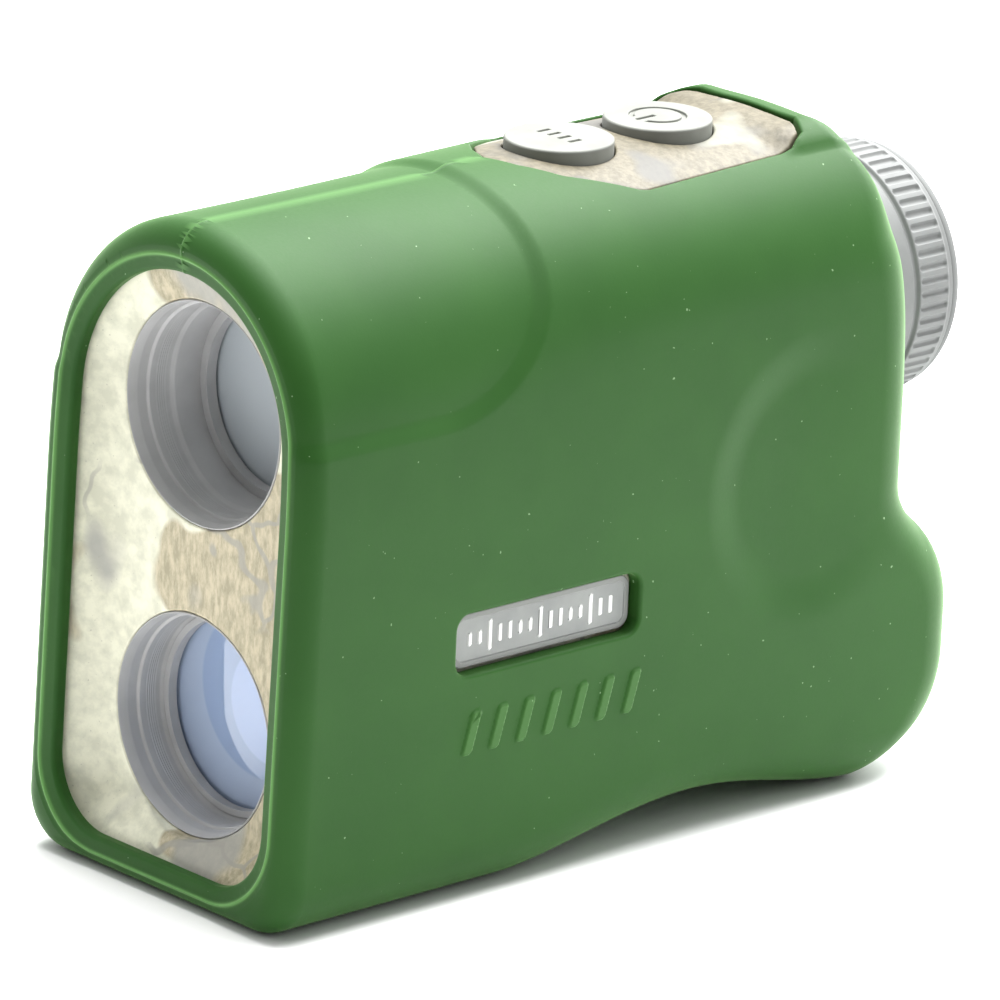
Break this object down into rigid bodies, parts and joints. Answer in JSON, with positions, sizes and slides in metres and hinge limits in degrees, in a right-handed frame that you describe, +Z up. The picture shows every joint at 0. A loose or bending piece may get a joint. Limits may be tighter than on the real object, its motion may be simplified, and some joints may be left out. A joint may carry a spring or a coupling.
{
  "type": "laser rangefinder",
  "caption": "Handheld laser rangefinder in a green silicone sleeve: stacked objective lenses, top buttons, ribbed focus ring and a battery cap below the eyepiece.",
  "frame": {"origin": "on the ground, under the middle of the overall box", "axes": "+Y is the optical axis towards the eyepiece, objectives face -Y, +Z is up, +X is the user's right-hand-rule side (the user's left flank faces -X when looking along -Y)"},
  "size_m": [0.0452, 0.108, 0.0775],
  "materials": {
    "green_silicone": "satin moulded silicone",
    "camo_plastic": "printed camouflage film",
    "housing_plastic": "printed camouflage film",
    "grey_plastic": "fine satin grain",
    "dark_plastic": "matt black",
    "key_rubber": "satin",
    "eyecup_rubber": "soft matt",
    "seal_rubber": "matt",
    "coated_glass": "anti-reflection coated",
    "blue_glass": "blue coated",
    "prism_glass": "polished",
    "anodised_metal": "black anodised",
    "steel": "plain",
    "tinned_steel": "tin plated",
    "brass": "nickel flashed",
    "circuit_board": "solder mask",
    "chip_plastic": "moulded epoxy",
    "polyimide": "film",
    "battery_wrap": "shrink sleeve",
    "badge_plate": "satin"
  },
  "bodies": {
    "housing": {"silicone_sleeve": "green_silicone", "left_housing_shell": "housing_plastic", "right_housing_shell": "housing_plastic", "front_bezel": "camo_plastic", "button_panel": "camo_plastic", "button_seals": "seal_rubber", "button_board": "circuit_board", "tactile_switches": "chip_plastic", "objective_barrel": "anodised_metal", "objective_retaining_ring": "anodised_metal", "objective_lens": "coated_glass", "objective_seal": "seal_rubber", "receiver_barrel": "anodised_metal", "receiver_retaining_ring": "anodised_metal", "receiver_lens": "blue_glass", "receiver_seal": "seal_rubber", "receiver_cone": "dark_plastic", "apd_module": "tinned_steel", "receiver_board": "circuit_board", "apd_shield": "tinned_steel", "prism_holder": "dark_plastic", "half_prism": "prism_glass", "roof_prism": "prism_glass", "laser_module": "anodised_metal", "laser_diode": "brass", "collimator_lens": "coated_glass", "lcd_frame": "dark_plastic", "lcd_panel": "prism_glass", "lcd_flex_cable": "polyimide", "main_board": "circuit_board", "main_board_chips": "chip_plastic", "driver_board": "circuit_board", "driver_components": "chip_plastic", "board_screws": "steel", "battery_tube": "dark_plastic", "battery": "battery_wrap", "battery_spring": "steel", "eyepiece_tube": "grey_plastic", "eyepiece_screws": "steel", "left_badge_plate": "badge_plate", "right_badge_plate": "badge_plate", "lanyard_bar": "steel", "housing_screws": "steel"},
    "power_button_body": {"power_button": "key_rubber"},
    "mode_button_body": {"mode_button": "key_rubber"},
    "focus_ring_body": {"diopter_ring": "grey_plastic", "eyecup": "eyecup_rubber"},
    "ocular_body": {"ocular_cell": "dark_plastic", "field_lens": "coated_glass", "eye_lens": "coated_glass", "ocular_seal": "seal_rubber"},
    "battery_cap_body": {"battery_cap": "grey_plastic", "battery_cap_seal": "seal_rubber", "battery_contact_plate": "brass", "cap_tab_pin": "steel"},
    "cap_tab_body": {"cap_tab": "grey_plastic"}
  },
  "joints": [
    {"name": "power_button_press", "type": "slide", "parent": "housing", "child": "power_button_body", "axis": [0, 0, -1], "range_m": [0, 0.0006], "stiffness_N_per_m": 800},
    {"name": "mode_button_press", "type": "slide", "parent": "housing", "child": "mode_button_body", "axis": [0, 0, -1], "range_m": [0, 0.0006], "stiffness_N_per_m": 800},
    {"name": "diopter_turn", "type": "hinge", "parent": "housing", "child": "focus_ring_body", "pos_m": [0, 0.047, 0.0542], "axis": [0, 1, 0], "range_deg": [-90, 90]},
    {"name": "ocular_slide", "type": "slide", "parent": "housing", "child": "ocular_body", "axis": [0, 1, 0], "range_m": [-0.001, 0.001]},
    {"name": "battery_cap_turn", "type": "hinge", "parent": "housing", "child": "battery_cap_body", "pos_m": [0, 0.0497, 0.0165], "axis": [0, 1, 0], "range_deg": [0, 60]},
    {"name": "cap_tab_flip", "type": "hinge", "parent": "battery_cap_body", "child": "cap_tab_body", "pos_m": [0, 0.04985, 0.0213], "axis": [1, 0, 0], "range_deg": [0, 95]}
  ],
  "couplings": [
    {"joint": "ocular_slide", "follows": "diopter_turn", "m_per_rad": 0.000636}
  ]
}
